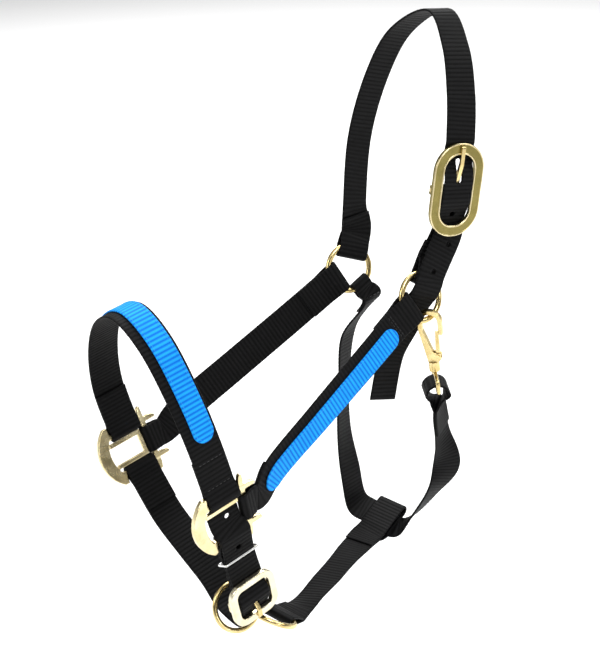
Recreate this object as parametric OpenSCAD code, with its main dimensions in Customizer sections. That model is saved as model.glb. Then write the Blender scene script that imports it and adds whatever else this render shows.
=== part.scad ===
// Horse halter: sewn webbing, two cast squares, rings, two tongue buckles and a throat snap.
// Frame: +X towards the nose, +Y the near (left) side, +Z up. Origin: underside of the crown
// strap on the poll, where the halter hangs. Millimetres.

/* [Webbing] */
// Width of the webbing
webbing_w = 25.4; // [22:0.2:26]
// Thickness of one ply of webbing
webbing_t = 1.7; // [1.4:0.1:2]
// Width of the coloured overlay
overlay_w = 16; // [12:0.5:20]
// Thickness of the coloured overlay
overlay_t = 1.2; // [0.8:0.1:1.6]
// Overlap of a folded and sewn strap end
lap = 34; // [28:1:40]

/* [Halter] */
// Cheek ring centres behind the poll's level, along X
ring_forward = 56; // [46:1:66]
// Cheek ring centres below the poll
ring_drop = 203; // [170:1:244]
// Distance between the two cheek ring centres
ring_span = 83; // [70:1:100]
// Square centres forward of the rings
cheek_reach = 204.5; // [170:0.5:246]
// Square centres below the rings
cheek_fall = 97; // [80:1:116]
// Distance between the two square centres
square_span = 124; // [110:1:148]
// Top of the noseband above the square centres
nose_rise = 140; // [117:1:168]
// Chin buckle's centre below the square centres
chin_drop = 70; // [64:1:84]

/* [Hardware] */
// Inside of a cast square
square_window = 26.8; // [26.6:0.2:30]
// Width of a square's bar
square_bar = 4; // [3:0.2:5]
// Depth of a square's bar
square_depth = 4; // [3.4:0.2:5]
// Inside diameter of a cheek ring
ring_id = 32; // [30:0.5:36]
// Wire diameter of a cheek ring
ring_wire = 4.6; // [4:0.2:5.4]
// Inside diameter of the lead ring and its link ring
lead_id = 31; // [28:0.5:34]
// Wire diameter of the lead ring and its link ring
lead_wire = 3.6; // [3.4:0.2:4.6]
// Diameter of a buckle's centre bar
pivot_d = 4; // [3.4:0.2:4.6]
// Depth of the crown buckle's frame
crown_frame_t = 3.4; // [2.8:0.2:4.2]
// Depth of the chin buckle's frame
chin_frame_t = 4.2; // [3.4:0.2:5]

/* [Hidden] */

gap = 0.2;              // between two plies, and between a strap and what it lies on
slack = 0.35;           // round metal inside a sewn loop
ply = (webbing_t + gap) / 2;
nose_pitch = 9.3;       // the squares' top bars dip this much towards the nose
near_roll = 0;          // lean of the near square
far_roll = 19;          // lean of the far square and cheek, top outwards
near_ring_roll = 20;    // lean of the near ring, top inwards
brass = [0.84, 0.76, 0.47];
olive = [0.62, 0.56, 0.27];
nickel = [0.78, 0.78, 0.76];
black = [0.06, 0.06, 0.065];
blue = [0.08, 0.6, 0.98];

// ---- vectors, curves and ribbons ----
function unit(v) = v / norm(v);
function turn_y(v, a) = [v[0]*cos(a) + v[2]*sin(a), v[1], v[2]*cos(a) - v[0]*sin(a)];
function turn_x(v, a) = [v[0], v[1]*cos(a) - v[2]*sin(a), v[1]*sin(a) + v[2]*cos(a)];
function turn_z(v, a) = [v[0]*cos(a) - v[1]*sin(a), v[0]*sin(a) + v[1]*cos(a), v[2]];

// Catmull-Rom curve through the points p, n steps to a span
function curve_point(p, k, u) =
  let (a = p[max(k - 1, 0)], b = p[k], c = p[k + 1], d = p[min(k + 2, len(p) - 1)])
  0.5 * (2*b + (c - a)*u + (2*a - 5*b + 4*c - d)*u*u + (3*b - a - 3*c + d)*u*u*u);
function smooth(p, n = 8) =
  concat([for (k = [0:len(p) - 2], i = [0:n - 1]) curve_point(p, k, i / n)], [p[len(p) - 1]]);
function xyz(v) = [v[0], v[1], v[2]];
function side(v) = [v[3], v[4], v[5]];

// A spine is [running lengths, stations]; a station is a point and its across direction, whose
// length is the share of the full width kept there
function lengths(p) =
  [for (i = 0, s = 0; i < len(p); s = s + (i + 1 < len(p) ? norm(xyz(p[i + 1]) - xyz(p[i])) : 0), i = i + 1) s];
function spine(points, n = 8) = let (p = smooth(points, n)) [lengths(p), p];
function spine_length(sp) = sp[0][len(sp[0]) - 1];
function span_at(s, x) = let (n = len(s) - 1) x <= s[0] ? 0 : x >= s[n] ? n - 1
  : max([for (k = [0:n - 1]) if (s[k] <= x) k]);
function station(sp, x) = let (k = span_at(sp[0], x), s = sp[0], p = sp[1])
  p[k] + (p[k + 1] - p[k]) * (x - s[k]) / (s[k + 1] - s[k]);
function along(sp, x) = unit(xyz(station(sp, x + 1.5)) - xyz(station(sp, x - 1.5)));
function across(sp, x) = let (t = along(sp, x), a = side(station(sp, x))) unit(a - (a*t)*t);
function out(sp, x) = cross(along(sp, x), across(sp, x));
function place(sp, x, h) = xyz(station(sp, x)) + h*out(sp, x);

// Ribbon of width w and thickness t through [point, across, width share] stations
function ribbon_normal(st, i) =
  unit(cross(st[i][1], st[min(i + 1, len(st) - 1)][0] - st[max(i - 1, 0)][0]));
function ribbon_corners(st, w, t) = [for (i = [0:len(st) - 1])
  let (c = st[i][0], a = st[i][1]*w*st[i][2]/2, n = ribbon_normal(st, i)*t/2)
  each [c + a + n, c - a + n, c - a - n, c + a - n]];
function ribbon_faces(n) = concat([[3, 2, 1, 0], [4*n - 4, 4*n - 3, 4*n - 2, 4*n - 1]],
  [for (i = [0:n - 2], k = [0:3]) each [
    [4*i + k, 4*i + (k + 1) % 4, 4*i + 4 + (k + 1) % 4],
    [4*i + k, 4*i + 4 + (k + 1) % 4, 4*i + 4 + k]]]);
module ribbon(st, w, t) {
  polyhedron(ribbon_corners(st, w, t), ribbon_faces(len(st)), convexity = 8);
}

// Side view [length, height] of a folded end: the lap, the bend round the metal, the body.
// r is the bend's radius, near and far where the metal's room begins and ends, up the side away
// from the lap. The body runs along the spine itself, and the lap lies against it.
function fold(r, near, far, lap_end, up) = concat(
  [[lap_end, -up*2*ply], [far + 11, -up*2*ply]],
  far > near ? [[far, -up*r]] : [],
  [for (q = [0:20:180]) [near - r*sin(q), -up*r*cos(q)]],
  far > near ? [[far, up*r]] : [],
  [[far + 11, 0]]);
function flip(p, l) = [for (i = [len(p) - 1:-1:0]) [l - p[i][0], p[i][1]]];
function run_of(a, b, h, step = 5) = let (n = max(2, ceil((b - a) / step)))
  [for (i = [1:n - 1]) [a + (b - a)*i/n, h]];
function share(sp, x) = min(1, norm(side(station(sp, x))));
function lay(sp, profile) = [for (q = profile) [place(sp, q[0], q[1]), across(sp, q[0]), share(sp, q[0])]];

// Room for straight metal of half-section (a, b), and for a ring, inside a loop
function bar_fold_r(a, b) = norm([a, b]) + slack + webbing_t/2;
function ring_fold_r(wire) = wire/2 + slack + webbing_t/2;
function ring_near(id, wire, part = 1) = sqrt(pow(id/2, 2) - pow(webbing_w*part/2, 2)) + wire/2;
function ring_far(id, wire) = id/2 + wire/2;

// Strap with a folded end A, a body and, if two, a folded end B
function strap_one(sp, fa, from_a, to) = lay(sp, concat(fa, run_of(from_a, to, 0), [[to, 0]]));
function strap_two(sp, fa, from_a, fb, to_b) = lay(sp, concat(fa, run_of(from_a, to_b, 0), fb));

// ---- places ----
ring_r = webbing_w/2;
near_ring_at = [ring_forward, ring_span/2, -ring_drop];
far_ring_at = [ring_forward, -ring_span/2, -ring_drop];
square_mid = [ring_forward + cheek_reach, 0, -ring_drop - cheek_fall];
square_half = (square_window + square_bar)/2;
// From the squares' own frame (x forward along the top bar, z up) to the halter's
function from_square(p, y, roll) = square_mid + turn_y([0, y, 0] + turn_x(p, roll), nose_pitch);
function from_nose(p) = square_mid + turn_y(p, nose_pitch);
top_dir = turn_y([1, 0, 0], nose_pitch);

// Cheek direction from ring to square, and the across direction rolled by a
function cheek_dir(s) = unit([cheek_reach, s*(square_span - ring_span)/2, -cheek_fall]);
function cheek_flat(s) = unit(cross([0, 0, 1], cheek_dir(s)));
function cheek_across(s, a) = cos(a)*cross(cheek_dir(s), cheek_flat(s)) - sin(a)*cheek_flat(s);
function cheek_normal(s, a) = cos(a)*cheek_flat(s) + sin(a)*cross(cheek_dir(s), cheek_flat(s));
near_axis = cheek_normal(1, near_ring_roll);
far_axis = cheek_normal(-1, far_roll);

// Turns a child's +Z onto the direction d
module point_z(d) {
  rotate([0, acos(d[2] / norm(d)), atan2(d[1], d[0])]) children();
}
module wire_ring(id, wire) {
  rotate_extrude($fn = 96) translate([(id + wire)/2, 0]) circle(d = wire, $fn = 32);
}
module slab(w, t, h) {
  translate([-w/2, -t/2, 0]) cube([w, t, h]);
}

// ---- crown ----
buckle_at = [ring_forward*0.44, ring_span/2 + 4.5, -ring_drop*0.608];
buckle_yaw = -13;
buckle_lean = -7;
function from_buckle(p) = buckle_at + turn_z(turn_y(p, buckle_lean), buckle_yaw);
function buckle_turn(p) = turn_z(turn_y(p, buckle_lean), buckle_yaw);
crown_bar_y = -3.4;                    // centre bar behind the frame's middle
crown_over = crown_bar_y + bar_fold_r(pivot_d/2, 0) + webbing_t + gap;
crown_under = -crown_frame_t/2 - 0.3 - webbing_t/2;
crown_window = [27.6, 56];
crown_band = 7.6;
far_up = unit([-0.42, -0.2, 0.9] - ([-0.42, -0.2, 0.9]*far_axis)*far_axis);
far_side = unit(cross(far_axis, far_up));

function b6(p, a) = concat(from_buckle(p), buckle_turn(a));
// Place on the tail by its length up the ring's plane and its height off it
ring_up = unit([-0.42, 0, 0.9] - ([-0.42, 0, 0.9]*near_axis)*near_axis);
tail_across = unit(cross(ring_up, near_axis)*-1);
function tail_shift(u, h) = u*ring_up + h*near_axis - 1.6*tail_across;
crown_route = [
  concat(far_ring_at, far_side),
  concat(far_ring_at + 11*far_up, far_side),
  concat(far_ring_at + 22*far_up, far_side),
  concat(far_ring_at + 33*far_up, far_side),
  concat([ring_forward*0.78, -ring_span*0.57, -ring_drop*0.74], [0.97, 0, 0.2]),
  concat([ring_forward*0.5, -ring_span*0.7, -ring_drop*0.5], [0.97, 0, 0.25]),
  concat([ring_forward*0.27, -ring_span*0.63, -ring_drop*0.27], [0.97, 0, 0.25]),
  concat([ring_forward*0.1, -ring_span*0.42, -ring_drop*0.09], [0.97, 0, 0.2]),
  concat([0, 0, webbing_t/2], [0.97, -0.02, 0.1]),
  concat([ring_forward*0.09, ring_span*0.28, -ring_drop*0.11], [0.96, -0.16, 0.16]),
  concat([ring_forward*0.21, ring_span*0.44, -ring_drop*0.27], [0.96, -0.22, 0.13]),
  b6([0, crown_under, crown_window[1]/2 + crown_band + 5], [1, 0, 0]),
  b6([0, crown_under - 0.1, crown_window[1]/2 + crown_band/2], [1, 0, 0]),
  b6([0, crown_under - 0.5, crown_window[1]/2 - 4], [1, 0, 0]),
  b6([0, crown_over, 11], [1, 0, 0]),
  b6([0, crown_over, 0], [1, 0, 0]),
  b6([0, crown_over, -9], [1, 0, 0]),
  b6([0, crown_under - 0.5, -crown_window[1]/2 + 4], [1, 0, 0]),
  b6([0, crown_under, -crown_window[1]/2 - crown_band], [1, 0, 0]),
  concat(near_ring_at + tail_shift(20, 8), tail_across),
  concat(near_ring_at + tail_shift(10, 5.6), tail_across),
  concat(near_ring_at + tail_shift(3, 2.2), tail_across),
  concat(near_ring_at + tail_shift(-3, -3.6), tail_across),
  concat(near_ring_at + tail_shift(-8, -7.6), tail_across),
  concat(near_ring_at + tail_shift(-20, -13), tail_across),
  concat(near_ring_at + [22, -9, -45], [0.9, -0.1, 0.45]),
  concat(near_ring_at + [33, -7.5, -80], [0.97, -0.1, 0.3])
];
crown_spine = spine(crown_route);

crown_fold = fold(ring_fold_r(ring_wire), ring_near(ring_id, ring_wire), ring_far(ring_id, ring_wire), 46, -1);
crown_length = spine_length(crown_spine);

module crown_strap() {
  color(black) difference() {
    ribbon(strap_one(crown_spine, crown_fold, ring_far(ring_id, ring_wire) + 11, crown_length), webbing_w, webbing_t);
    translate(buckle_at) rotate([0, buckle_lean, buckle_yaw])
      translate([0, 0, 5.5]) slab(5, 12, 18);
    for (z = [-19, -43])
      translate(from_buckle([0, 0, z])) rotate([0, buckle_lean, buckle_yaw])
        rotate([90, 0, 0]) cylinder(d = 4, h = 14, center = true, $fn = 32);
  }
}

// Two-ply billet from the near ring up to the crown buckle's centre bar
billet_up = unit([-0.56, 0, 0.8] - ([-0.56, 0, 0.8]*near_axis)*near_axis);
billet_across = -unit(cross(billet_up, near_axis));
billet_route = [
  concat(near_ring_at, billet_across),
  concat(near_ring_at + 11*billet_up, billet_across),
  concat(near_ring_at + 22*billet_up, billet_across),
  concat(near_ring_at + 32*billet_up, billet_across),
  b6([-1, crown_under - 4.6*ply, -crown_window[1]/2 - 2], [1, 0, 0]),
  b6([0, crown_bar_y - 0.6, -9], [1, 0, 0]),
  b6([0, crown_bar_y, 0], [1, 0, 0])
];
billet_spine = spine(billet_route);
module crown_billet() {
  l = spine_length(billet_spine);
  a = fold(ring_fold_r(ring_wire), ring_near(ring_id, ring_wire), ring_far(ring_id, ring_wire), 44, 1);
  b = flip(fold(bar_fold_r(pivot_d/2, 0), 0, 0, 26, 1), l);
  color(black) difference() {
    ribbon(strap_two(billet_spine, a, ring_far(ring_id, ring_wire) + 11, b, l - 11), webbing_w, webbing_t);
    translate(buckle_at) rotate([0, buckle_lean, buckle_yaw])
      translate([0, crown_bar_y, -6.5]) slab(6, 16, 16);
  }
}

module frame_outline(window, band, r) {
  difference() {
    rounded_plate([window[0] + 2*band, window[1] + 2*band], r + band);
    rounded_plate(window, r);
  }
}
module rounded_plate(size, r) {
  square([size[0] - 2*r, size[1]], center = true);
  square([size[0], size[1] - 2*r], center = true);
  for (x = [-1, 1], y = [-1, 1])
    translate([x*(size[0]/2 - r), y*(size[1]/2 - r)]) circle(r = r, $fn = 64);
}
module crown_buckle() {
  color(olive) translate(buckle_at) rotate([0, buckle_lean, buckle_yaw]) difference() {
    union() {
      rotate([90, 0, 0]) linear_extrude(crown_frame_t, center = true)
        frame_outline(crown_window, crown_band, 13);
      for (x = [-1, 1]) translate([x*(crown_window[0]/2 + crown_band/2), crown_bar_y/2 - 0.9, 0])
        cube([crown_band - 1.6, -crown_bar_y + 1.8, 7], center = true);
    }
    translate([0, crown_bar_y, 0]) rotate([0, 90, 0]) cylinder(d = pivot_d, h = 60, center = true, $fn = 48);
    translate([0, crown_frame_t/2 + 0.8, crown_window[1]/2]) rotate([0, 0, 0])
      cylinder(d = 4.4, h = 2*crown_band + 2, center = true, $fn = 32);
  }
}
module crown_buckle_bar() {
  color(brass) translate(buckle_at) rotate([0, buckle_lean, buckle_yaw])
    translate([0, crown_bar_y, 0]) rotate([0, 90, 0])
      cylinder(d = pivot_d, h = crown_window[0] + 2*crown_band - 2, center = true, $fn = 48);
}
// Tongue: an eye round the centre bar and a bent bar out to the frame
module tongue(bar_y, tip_y, reach, root) {
  eye_r = pivot_d/2 + 0.06;
  difference() {
    union() {
      translate([0, bar_y, 0]) rotate([0, 90, 0]) cylinder(r = eye_r + root, h = 3.6, center = true, $fn = 48);
      rotate([90, 0, 90]) linear_extrude(3.2, center = true) polygon([
        [bar_y + eye_r, 0], [bar_y + eye_r + root, 2], [tip_y + 1.1, reach*0.62], [tip_y + 1.2, reach],
        [tip_y + 0.4, reach + 1.2], [tip_y - 1, reach + 0.6], [tip_y - 1.2, reach*0.66], [bar_y + 0.3, 3.4]]);
    }
    translate([0, bar_y, 0]) rotate([0, 90, 0]) cylinder(r = eye_r, h = 10, center = true, $fn = 48);
  }
}
module crown_buckle_tongue() {
  color(brass) translate(buckle_at) rotate([0, buckle_lean, buckle_yaw])
    tongue(crown_bar_y, crown_frame_t/2 + 1.1, crown_window[1]/2 + crown_band*0.6, 1.5);
}

// ---- noseband ----
function nose6(y, z) = concat(from_nose([0, y, z]), top_dir);
near_top = [0, square_span/2 - square_half*sin(near_roll), square_half*cos(near_roll)];
far_top = [0, -square_span/2 - square_half*sin(far_roll), square_half*cos(far_roll)];
half_span = square_span/2;
nose_route = [
  nose6(near_top[1], near_top[2]),
  nose6(half_span*0.9, nose_rise*0.35),
  nose6(half_span*0.7, nose_rise*0.63),
  nose6(half_span*0.36, nose_rise*0.89),
  nose6(-half_span*0.1, nose_rise),
  nose6(-half_span*0.6, nose_rise*0.9),
  nose6(-half_span*1.01, nose_rise*0.65),
  nose6(-half_span*1.19, nose_rise*0.37),
  nose6(far_top[1], far_top[2])
];
nose_spine = spine(nose_route);
square_r = norm([square_bar, square_depth])/2 + 0.12 + webbing_t/2;
nose_length = spine_length(nose_spine);
module noseband() {
  b = flip(fold(square_r, 0, 0, lap, 1), nose_length);
  color(black) ribbon(strap_two(nose_spine, fold(square_r, 0, 0, lap, 1), 11, b, nose_length - 11), webbing_w, webbing_t);
}
// Overlay with round ends, from length a to length b on a strap's outer face
function round_share(d) = d >= overlay_w/2 ? 1 : sqrt(max(0.02, 1 - pow(1 - d/(overlay_w/2), 2)));
function overlay_path(sp, a, b, shift, face = 1) =
  let (h = face*(webbing_t/2 + 0.15 + overlay_t/2), n = ceil((b - a - overlay_w)/4),
    ends = [0, 0.6, 1.8, 3.6, 5.8],
    d = concat([for (e = ends) a + e], [for (i = [0:n]) a + overlay_w/2 + (b - a - overlay_w)*i/n],
      [for (i = [len(ends) - 1:-1:0]) b - ends[i]]))
  [for (x = d) [place(sp, x, h) + shift*across(sp, x), across(sp, x), round_share(min(x - a, b - x))]];
module noseband_overlay() {
  color(blue) ribbon(overlay_path(nose_spine, 44, nose_length - 44, -2.5), overlay_w, overlay_t);
}

// ---- cheeks ----
// s is +1 on the near side and -1 on the far side; up is the body's side of the spine
function rear_bar(s, roll) = from_square([-square_half, 0, 0], s*square_span/2, roll);
function bar_dir(roll) = turn_y(turn_x([0, 0, 1], roll), nose_pitch);
function cheek_route(s, roll, ring_roll) =
  let (start = rear_bar(s, roll), stop = s > 0 ? near_ring_at : far_ring_at, run = stop - start)
  [
    concat(start, 0.83*bar_dir(roll)),
    concat(start - 8*top_dir, 0.83*bar_dir(roll)),
    concat(start - 16*top_dir, 0.83*bar_dir(roll)),
    concat(start + 0.17*run, cheek_across(s, roll*0.9 + ring_roll*0.1)),
    concat(start + 0.4*run, cheek_across(s, roll*0.6 + ring_roll*0.4)),
    concat(start + 0.7*run, cheek_across(s, roll*0.2 + ring_roll*0.8)),
    concat(stop + 22*cheek_dir(s), cheek_across(s, ring_roll)),
    concat(stop + 11*cheek_dir(s), cheek_across(s, ring_roll)),
    concat(stop, cheek_across(s, ring_roll))
  ];
near_cheek_route = cheek_route(1, near_roll, near_ring_roll);
far_cheek_route = cheek_route(-1, far_roll, far_roll);
near_cheek_spine = spine(near_cheek_route);
far_cheek_spine = spine(far_cheek_route);
module cheek_strap(sp, up) {
  l = spine_length(sp);
  b = flip(fold(ring_fold_r(ring_wire), ring_near(ring_id, ring_wire), ring_far(ring_id, ring_wire), lap + 14, up), l);
  color(black) ribbon(strap_two(sp, fold(square_r, 0, 0, lap, up), 11,
    b, l - ring_far(ring_id, ring_wire) - 11), webbing_w, webbing_t);
}
module near_cheek_strap() cheek_strap(near_cheek_spine, 1);
module far_cheek_strap() cheek_strap(far_cheek_spine, -1);
module near_cheek_overlay() {
  color(blue) ribbon(overlay_path(near_cheek_spine, 20, spine_length(near_cheek_spine) - 36, -3.2), overlay_w, overlay_t);
}
module far_cheek_overlay() {
  color(blue) ribbon(overlay_path(far_cheek_spine, 20, spine_length(far_cheek_spine) - 36, -3.2, -1), overlay_w, overlay_t);
}

// ---- squares ----
// Three straight bars, a crescent bow with hooked ends in front, and two prongs at each rear corner
module prong() {
  polygon([[-1, -square_bar/2], [6, -square_bar/2], [10.4, 1.2 - square_bar/2], [11.4, square_bar/2 - 0.8],
    [10.6, square_bar/2], [-1, square_bar/2]]);
}
module crescent(outer, tall) {
  intersection() {
    translate([-1.5, 0]) circle(r = outer + 1.5, $fn = 128);
    translate([square_window/2, -tall]) square([40, 2*tall]);
  }
}
module square_outline() {
  o = square_half + square_bar/2;
  i = square_window/2;
  difference() {
    union() {
      translate([-o, -o]) square([2*o - 2, 2*o]);
      crescent(i + 15, o + 6);
    }
    translate([-i, -i]) square([2*i - 2, 2*i]);
    intersection() {
      translate([-9.7, 0]) circle(r = i + 15, $fn = 128);
      translate([0, -i]) square([30, 2*i]);
    }
  }
}
module halter_square() {
  rotate([90, 0, 0]) {
    linear_extrude(square_depth, center = true) square_outline();
    for (q = [[1, 90], [1, 180], [-1, 180], [-1, 270]])
      translate([-square_half, q[0]*square_half, 0]) rotate([0, 0, q[1]])
        linear_extrude(square_depth - 0.5, center = true) prong();
  }
}
module near_square() {
  color(brass) translate(square_mid) rotate([0, nose_pitch, 0])
    translate([0, square_span/2, 0]) rotate([near_roll, 0, 0]) halter_square();
}
module far_square() {
  color(brass) translate(square_mid) rotate([0, nose_pitch, 0])
    translate([0, -square_span/2, 0]) rotate([far_roll, 0, 0]) halter_square();
}

// ---- cheek rings ----
module near_cheek_ring() color(brass) translate(near_ring_at) point_z(near_axis) wire_ring(ring_id, ring_wire);
module far_cheek_ring() color(brass) translate(far_ring_at) point_z(far_axis) wire_ring(ring_id, ring_wire);

// ---- chin ----
chin_at = [0, half_span + 10, -chin_drop];
chin_bar_y = -3.6;
chin_window = [27.6, 25];
chin_band = 5.6;
chin_over = chin_bar_y + bar_fold_r(pivot_d/2, 0) + webbing_t + gap;
chin_under = -chin_frame_t/2 - 0.3 - webbing_t/2;
function chin6(y, z) = nose6(chin_at[1] + y, chin_at[2] + z);
near_low = [0, square_span/2 + square_half*sin(near_roll), -square_half*cos(near_roll)];
far_low = [0, -square_span/2 + square_half*sin(far_roll), -square_half*cos(far_roll)];
billet_gap = webbing_t + 2*gap;
keeper_z = 36;                        // keeper above the chin buckle's centre
keeper_y = chin_under - billet_gap - 2.6;
function chin6a(a, y, z) = concat(from_nose([a, chin_at[1] + y, chin_at[2] + z]), top_dir);
function around_low(q) = [6*cos(q), 6*sin(q)];
chin_route = [
  nose6(far_low[1], far_low[2]),
  nose6(far_low[1] + 7, far_low[2] - 10),
  nose6(-half_span*0.5, -chin_drop*0.7),
  nose6(-half_span*0.06, -chin_drop*0.94),
  nose6(half_span*0.33, -chin_drop*1.13),
  chin6a(2, half_span*0.62 - chin_at[1], -chin_drop*0.28),
  chin6a(2.5, half_span*0.82 - chin_at[1], -chin_drop*0.315),
  chin6a(1, -8.5, -24),
  chin6(chin_under - 0.5, -17),
  chin6(chin_under - 0.4, -12.5),
  chin6(chin_over, -4),
  chin6(chin_over, 3.5),
  chin6(chin_under - 0.4, 12.5),
  chin6(chin_under, 17.5),
  chin6(keeper_y + billet_gap, keeper_z),
  nose6(near_low[1] + around_low(-20)[0], near_low[2] + around_low(-20)[1]),
  nose6(near_low[1] + around_low(35)[0], near_low[2] + around_low(35)[1]),
  concat(from_nose([2.2, near_low[1] + 0.8, near_low[2] + 10]), top_dir),
  concat(from_nose([2.4, near_low[1] - 1.6, near_low[2] + 20]), top_dir)
];
chin_spine = spine(chin_route);
module chin_strap() {
  l = spine_length(chin_spine);
  color(black) difference() {
    ribbon(strap_one(chin_spine, fold(square_r, 0, 0, lap, 1), 11, l), webbing_w, webbing_t);
    translate(square_mid) rotate([0, nose_pitch, 0]) translate(chin_at) {
      translate([0, 0, -13.5]) slab(5, 14, 11);
      for (z = [keeper_z + 9, keeper_z + 34])
        translate([0, -8, z]) rotate([90, 0, 0]) cylinder(d = 4, h = 20, center = true, $fn = 32);
    }
  }
}
chin_billet_route = [
  nose6(near_low[1], near_low[2]),
  nose6(near_low[1], near_low[2] - 12),
  chin6(keeper_y, keeper_z),
  chin6(chin_under - billet_gap - 0.35, 18),
  chin6(chin_bar_y - 1.2, 8),
  chin6(chin_bar_y, 0)
];
chin_billet_spine = spine(chin_billet_route);
module chin_billet() {
  l = spine_length(chin_billet_spine);
  b = flip(fold(bar_fold_r(pivot_d/2, 0), 0, 0, 26, -1), l);
  color(black) difference() {
    ribbon(strap_two(chin_billet_spine, fold(square_r, 0, 0, 22, -1), 11, b, l - 11), webbing_w, webbing_t);
    translate(square_mid) rotate([0, nose_pitch, 0]) translate(chin_at)
      translate([0, chin_bar_y, -9]) slab(6, 16, 14);
  }
}
module chin_place() {
  translate(square_mid) rotate([0, nose_pitch, 0]) translate(chin_at) children();
}
module chin_buckle() {
  color(brass) chin_place() difference() {
    union() {
      rotate([90, 0, 0]) linear_extrude(chin_frame_t, center = true) frame_outline(chin_window, chin_band, 5);
      for (x = [-1, 1]) translate([x*(chin_window[0]/2 + chin_band/2), chin_bar_y/2 - 1, 0])
        cube([chin_band - 1.4, -chin_bar_y + 2.2, 8], center = true);
    }
    translate([0, chin_bar_y, 0]) rotate([0, 90, 0]) cylinder(d = pivot_d, h = chin_window[0] + 2*chin_band - 1.6, center = true, $fn = 48);
  }
}
module chin_buckle_bar() {
  color(brass) chin_place() translate([0, chin_bar_y, 0]) rotate([0, 90, 0])
    cylinder(d = pivot_d, h = chin_window[0] + 2*chin_band - 1.6, center = true, $fn = 48);
}
module chin_buckle_tongue() {
  color(brass) chin_place() mirror([0, 0, 1])
    tongue(chin_bar_y, chin_frame_t/2 + 1.3, chin_window[1]/2 + chin_band*0.5, 1.4);
}
// Wire keeper round the billet and the strap's tail
keeper_wire = 1.8;
module chin_keeper() {
  w = webbing_w/2 + 1.6;
  d = 4*ply + webbing_t/2 + 1.6;
  color(nickel) chin_place() translate([0, keeper_y + billet_gap/2, keeper_z]) rotate([28, 0, 0]) {
    for (y = [-1, 1]) translate([0, y*d, 0]) rotate([0, 90, 0]) cylinder(d = keeper_wire, h = 2*w - 2, center = true, $fn = 24);
    for (x = [-1, 1]) translate([x*w, 0, 0]) rotate([90, 0, 0]) cylinder(d = keeper_wire, h = 2*d - 2, center = true, $fn = 24);
    for (x = [-1, 1], y = [-1, 1]) translate([x*(w - 1), y*(d - 1), 0])
      rotate([0, 0, x > 0 ? (y > 0 ? 0 : 270) : (y > 0 ? 90 : 180)])
        rotate_extrude(angle = 90, $fn = 48) translate([1, 0]) circle(d = keeper_wire, $fn = 24);
  }
}

// ---- lead ring, link ring and throat ----
lead_mean = (lead_id + lead_wire)/2;
lead_at = from_nose([3.8, half_span*0.81, -chin_drop*1.29]);
lead_axis = unit([0.09, 0.86, 0.48]);
link_dir = unit([-0.781, 0.411, -0.47] - ([-0.781, 0.411, -0.47]*lead_axis)*lead_axis);
link_at = lead_at + (2*lead_mean - lead_wire - 0.5)*link_dir;
link_axis = unit([-0.539, -0.064, 0.84] - ([-0.539, -0.064, 0.84]*link_dir)*link_dir);
conn_dir = unit([-0.777, -0.328, -0.538] - ([-0.777, -0.328, -0.538]*link_axis)*link_axis);
link_side = unit(cross(conn_dir, link_axis));
module lead_ring() color(brass) translate(lead_at) point_z(lead_axis) wire_ring(lead_id, lead_wire);
module link_ring() color(brass) translate(link_at) point_z(link_axis) wire_ring(lead_id, lead_wire);

throat_low = [ring_forward + 5, 5, -ring_drop - 217];
throat_dir = unit([-0.26, 0.96, -0.1]);
throat_side = unit(cross(throat_dir, [0.25, 0.1, 0.95]))*-1;
conn_end = link_at + 32*conn_dir;
conn_route = [
  concat(link_at, link_side),
  concat(link_at + 11*conn_dir, link_side),
  concat(link_at + 22*conn_dir, link_side),
  concat(link_at + 32*conn_dir, link_side),
  concat(conn_end + (throat_low - conn_end)*0.14 + [0, 0, -3], unit([0.3, 0.93, 0.24])),
  concat(conn_end + (throat_low - conn_end)*0.36 + [0, 0, -2], unit([0.28, 0.95, 0.15])),
  concat(conn_end + (throat_low - conn_end)*0.6 + [0, 0, 0], unit([0.25, 0.96, 0.1])),
  concat(throat_low - 30*throat_side + [0, 0, 4], throat_dir),
  concat(throat_low - 15*throat_side, throat_dir),
  concat(throat_low, throat_dir)
];
conn_spine = spine(conn_route);
throat_room = 13.4;
module throat_connector() {
  l = spine_length(conn_spine);
  a = fold(ring_fold_r(lead_wire), ring_near(lead_id, lead_wire), ring_far(lead_id, lead_wire), 42, 1);
  b = flip(fold(webbing_t + 2.4, -throat_room, throat_room, 42, 1), l);
  color(black) ribbon(strap_two(conn_spine, a, ring_far(lead_id, lead_wire) + 11, b, l - throat_room - 11), webbing_w, webbing_t);
}

far_down = unit([-0.47, 0, -0.88] - ([-0.47, 0, -0.88]*far_axis)*far_axis);
throat_part = 0.64;                    // the throat strap is pinched to this share in the ring
far_down_side = unit(cross(far_axis, far_down));
snap_wire = near_ring_at + (ring_id + ring_wire)/2*unit([-0.26, 0.35, -0.94] - ([-0.26, 0.35, -0.94]*near_axis)*near_axis);
module throat_strap() {
  l = spine_length(throat_spine);
  a = fold(ring_fold_r(ring_wire), ring_near(ring_id, ring_wire, throat_part), ring_far(ring_id, ring_wire), 48, 1);
  b = flip(fold(eye_loop, 1.6, 1.6, 38, 1), l);
  color(black) ribbon(strap_two(throat_spine, a, ring_far(ring_id, ring_wire) + 11, b, l - 13), webbing_w, webbing_t);
}

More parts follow.
